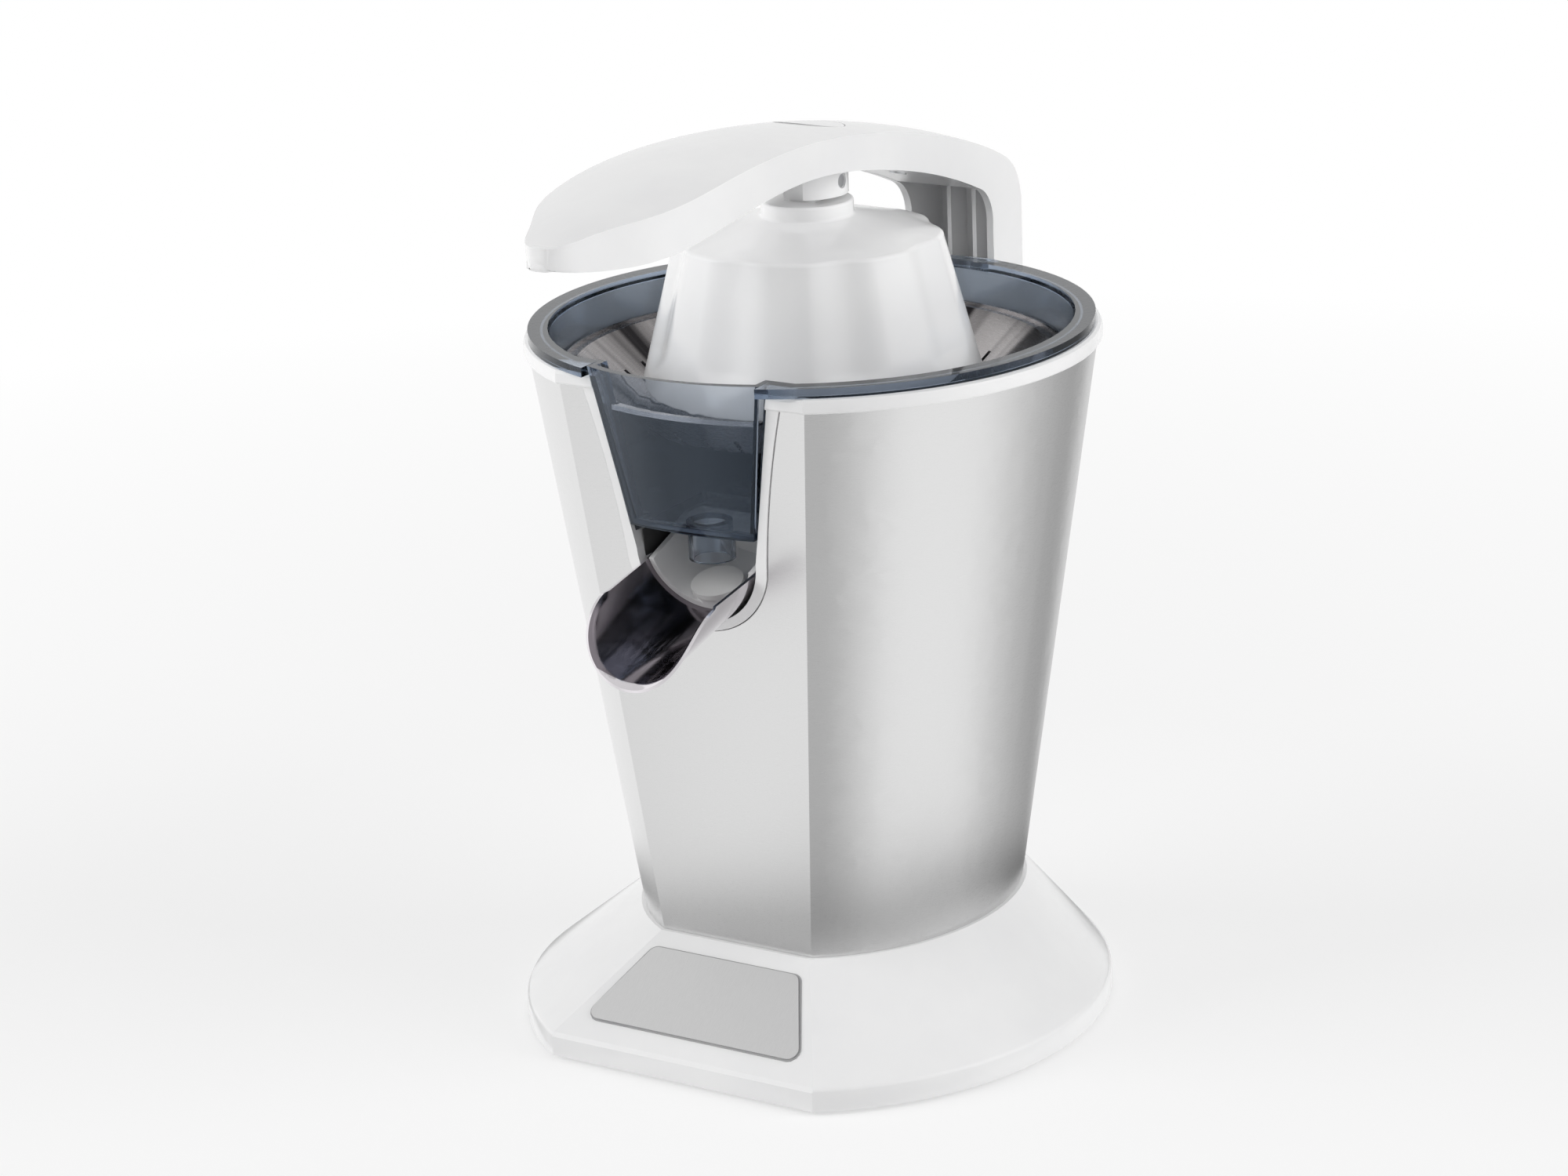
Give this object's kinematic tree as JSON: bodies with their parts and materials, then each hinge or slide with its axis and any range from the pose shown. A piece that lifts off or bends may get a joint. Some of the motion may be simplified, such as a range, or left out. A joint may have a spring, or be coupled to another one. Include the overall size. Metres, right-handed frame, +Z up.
{
  "type": "citrus press juicer",
  "caption": "Lever-arm electric citrus press: fluted cup over a driven reamer, smoked bowl with strainer, tilting spout, steel tower on a flared base.",
  "frame": {"origin": "on the drive axis, at the underside of the foot ring", "axes": "+X to the right of someone facing the spout, +Y to the back where the arm is hinged, +Z up along the drive axis"},
  "size_m": [0.2, 0.2766, 0.3107],
  "materials": {
    "gloss_white": "glossy white moulding",
    "brushed_steel": "brushed stainless sheet",
    "chrome": "bright chromed",
    "smoked_clear": "smoked clear, see-through",
    "dark_rubber": "matt",
    "white_silicone": "matt silicone",
    "grey_plastic": "matt moulding",
    "natural_nylon": "satin moulding",
    "zinc_steel": "zinc plated",
    "bearing_bronze": "sintered",
    "motor_steel": "pressed and laminated steel",
    "copper_wire": "enamelled copper"
  },
  "bodies": {
    "housing": {"base_shell": "gloss_white", "base_cover": "grey_plastic", "foot_ring": "dark_rubber", "base_screws": "zinc_steel", "cord_gland": "dark_rubber", "front_plate": "brushed_steel", "steel_sleeve": "brushed_steel", "top_frame": "gloss_white", "frame_screws": "zinc_steel", "shaft_seal": "white_silicone", "bowl": "smoked_clear", "strainer": "brushed_steel", "inner_frame": "grey_plastic", "gearbox_tray": "grey_plastic", "gearbox_lid": "grey_plastic", "case_screws": "zinc_steel", "shaft_bushes": "bearing_bronze", "disc_springs": "zinc_steel", "idler_pin": "zinc_steel", "motor_can": "motor_steel", "motor_plate": "motor_steel", "motor_screws": "zinc_steel", "motor_bushes": "bearing_bronze", "stator": "motor_steel", "stator_coils": "copper_wire", "switch_body": "grey_plastic", "hinge_bracket": "gloss_white", "hinge_backplate": "zinc_steel", "hinge_screws": "zinc_steel", "hinge_pin": "zinc_steel", "hinge_caps": "gloss_white"},
    "arm": {"arm_body": "gloss_white", "arm_cover": "gloss_white", "arm_screws": "zinc_steel", "arm_cap": "gloss_white", "cup_stem": "gloss_white", "stem_screws": "zinc_steel", "cup_pin": "zinc_steel", "hinge_bushes": "natural_nylon"},
    "cup": {"cup": "gloss_white"},
    "carriage": {"thrust_washer": "zinc_steel"},
    "spindle": {"reamer": "gloss_white", "drive_shaft": "zinc_steel", "output_gear": "natural_nylon"},
    "idler": {"idler_gear": "natural_nylon"},
    "rotor": {"rotor": "motor_steel", "cooling_fan": "grey_plastic", "motor_pinion": "zinc_steel"},
    "spout": {"spout": "chrome", "trough": "gloss_white", "drip_pad": "white_silicone"},
    "switch": {"switch_plunger": "natural_nylon"}
  },
  "joints": [
    {"name": "arm_lift", "type": "hinge", "parent": "housing", "child": "arm", "pos_m": [0, 0.1058, 0.213], "axis": [-1, 0, 0], "range_deg": [0, 70]},
    {"name": "cup_tilt", "type": "hinge", "parent": "arm", "child": "cup", "pos_m": [0, 0, 0.287], "axis": [1, 0, 0], "range_deg": [-5, 5]},
    {"name": "spindle_press", "type": "slide", "parent": "housing", "child": "carriage", "axis": [0, 0, -1], "range_m": [0, 0.002], "stiffness_N_per_m": 8000, "springref_m": -0.001, "deforming": ["disc_springs"]},
    {"name": "spindle_spin", "type": "hinge", "parent": "carriage", "child": "spindle", "pos_m": [0, 0, 0.2], "axis": [0, 0, 1], "continuous": true},
    {"name": "idler_spin", "type": "hinge", "parent": "housing", "child": "idler", "pos_m": [0, 0.03, 0.13], "axis": [0, 0, 1], "continuous": true},
    {"name": "rotor_spin", "type": "hinge", "parent": "housing", "child": "rotor", "pos_m": [-0.012, 0.05078, 0.09], "axis": [0, 0, 1], "continuous": true},
    {"name": "spout_tilt", "type": "hinge", "parent": "housing", "child": "spout", "pos_m": [0, -0.04, 0.172], "axis": [-1, 0, 0], "range_deg": [0, 18]},
    {"name": "switch_press", "type": "slide", "parent": "housing", "child": "switch", "axis": [0, 0, -1], "range_m": [0, 0.002]}
  ],
  "couplings": [
    {"joint": "idler_spin", "follows": "spindle_spin", "ratio": -3},
    {"joint": "rotor_spin", "follows": "spindle_spin", "ratio": 9},
    {"joint": "switch_press", "follows": "spindle_press", "ratio": 1}
  ]
}
